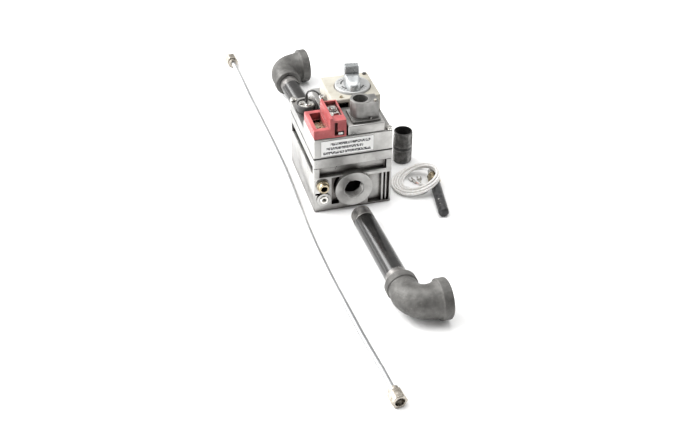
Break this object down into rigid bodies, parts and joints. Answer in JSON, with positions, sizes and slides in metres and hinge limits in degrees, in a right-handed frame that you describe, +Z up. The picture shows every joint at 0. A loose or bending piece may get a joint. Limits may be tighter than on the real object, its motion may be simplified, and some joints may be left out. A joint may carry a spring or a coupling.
{
  "type": "gas control valve kit",
  "caption": "Millivolt gas control valve with knob, regulator and terminal block, laid out with its pipe nipples, elbows, pilot tube, nuts and thermopile on a coiled lead.",
  "frame": {"origin": "middle of the valve's base face, on the bench", "axes": "+X right along the outlet side, +Y from the outlet towards the inlet, +Z up"},
  "size_m": [0.2151, 0.7741, 0.1555],
  "materials": {
    "aluminium": "bright drawn aluminium tube",
    "black_pipe": "black lacquered steel pipe with bare threads",
    "black_plastic": "black moulding",
    "black_rubber": "black rubber",
    "brass": "turned brass, partly dulled",
    "cream_plastic": "cream moulded plastic",
    "die_cast": "bare zinc and aluminium die casting, satin",
    "knob_grey": "grey knob",
    "label_paper": "white film label",
    "malleable_iron": "rough cast malleable iron",
    "red_plastic": "red moulded terminal block",
    "sheath_black": "dark oxidised sheath",
    "spring_steel": "spring wire",
    "steel": "zinc plated steel",
    "white_sleeve": "white woven sleeve"
  },
  "bodies": {
    "valve": {"cap_screw_left": "steel", "cap_screw_right": "steel", "close_nipple": "black_pipe", "cover": "die_cast", "cover_screw_front_right": "steel", "cover_screw_rear_left": "steel", "cover_screw_rear_right": "steel", "flange_plate": "die_cast", "front_elbow": "malleable_iron", "front_nipple": "black_pipe", "housing_screw_back": "black_plastic", "housing_screw_front": "brass", "inlet_screen": "steel", "jumper_wire": "black_rubber", "knob_housing": "cream_plastic", "lead_coil": "white_sleeve", "lead_start": "white_sleeve", "lead_tail": "white_sleeve", "magnet_cap": "black_plastic", "main_valve_spring": "spring_steel", "pilot_fitting": "brass", "pilot_tube": "aluminium", "plate_screw": "steel", "power_unit": "brass", "pressure_plug": "steel", "rating_label": "label_paper", "rear_elbow": "malleable_iron", "rear_nipple": "black_pipe", "regulator_diaphragm": "black_rubber", "regulator_plate": "die_cast", "regulator_spring": "spring_steel", "regulator_tower": "die_cast", "safety_spring": "spring_steel", "spade_left": "steel", "spade_right": "steel", "terminal_block": "red_plastic", "terminal_plate": "steel", "terminal_post": "steel", "terminal_screw_left": "brass", "terminal_screw_right": "steel", "terminal_tab": "steel", "thermopile_bush": "steel", "thermopile_sheath": "sheath_black", "valve_body": "die_cast", "vent_plug": "cream_plastic"},
    "knob": {"knob": "knob_grey", "knob_stem": "steel"},
    "gas_cock": {"gas_cock": "brass", "knob_spring": "spring_steel"},
    "safety_valve": {"safety_disc": "black_rubber", "armature": "steel"},
    "main_valve": {"main_valve": "steel", "main_valve_facing": "black_rubber", "diaphragm_plate": "aluminium"},
    "spring_seat": {"spring_seat": "brass"},
    "regulator_screw": {"regulator_screw": "black_plastic"},
    "rear_nut": {"tube_nut_rear": "brass"},
    "front_nut": {"tube_nut_front": "brass"},
    "thermopile_nut": {"thermopile_nut": "brass"}
  },
  "joints": [
    {"name": "knob_turn", "type": "hinge", "parent": "valve", "child": "gas_cock", "pos_m": [0.021, 0.018, 0.0929], "axis": [0, 0, 1], "range_deg": [-90, 90]},
    {"name": "knob_press", "type": "slide", "parent": "gas_cock", "child": "knob", "axis": [0, 0, -1], "range_m": [0, 0.0055], "stiffness_N_per_m": 900, "springref_m": -0.004, "deforming": ["knob_spring"]},
    {"name": "safety_lift", "type": "slide", "parent": "valve", "child": "safety_valve", "axis": [0, 0, -1], "range_m": [0, 0.0055], "deforming": ["safety_spring"]},
    {"name": "main_valve_lift", "type": "slide", "parent": "valve", "child": "main_valve", "axis": [0, 0, 1], "range_m": [0, 0.003], "stiffness_N_per_m": 400, "springref_m": -0.003, "deforming": ["main_valve_spring", "regulator_spring", "regulator_diaphragm"]},
    {"name": "spring_seat_slide", "type": "slide", "parent": "valve", "child": "spring_seat", "axis": [0, 0, 1], "range_m": [0, 0.00301]},
    {"name": "regulator_screw_turn", "type": "hinge", "parent": "spring_seat", "child": "regulator_screw", "pos_m": [0.0143, -0.0412, 0.1274], "axis": [0, 0, 1], "range_deg": [0, 720]},
    {"name": "rear_nut_turn", "type": "hinge", "parent": "valve", "child": "rear_nut", "pos_m": [-0.0784, 0.352, 0.00801], "axis": [0.0494, -0.9988, 0], "continuous": true},
    {"name": "front_nut_turn", "type": "hinge", "parent": "valve", "child": "front_nut", "pos_m": [-0.0508, -0.406, 0.00801], "axis": [-0.0792, 0.9969, 0], "continuous": true},
    {"name": "thermopile_nut_turn", "type": "hinge", "parent": "valve", "child": "thermopile_nut", "pos_m": [0.1171, -0.047, 0.0074], "axis": [-0.1689, -0.9856, -0.0094], "continuous": true}
  ],
  "couplings": [
    {"joint": "safety_lift", "follows": "knob_press", "ratio": 1},
    {"joint": "spring_seat_slide", "follows": "regulator_screw_turn", "m_per_rad": 0.00023873}
  ]
}
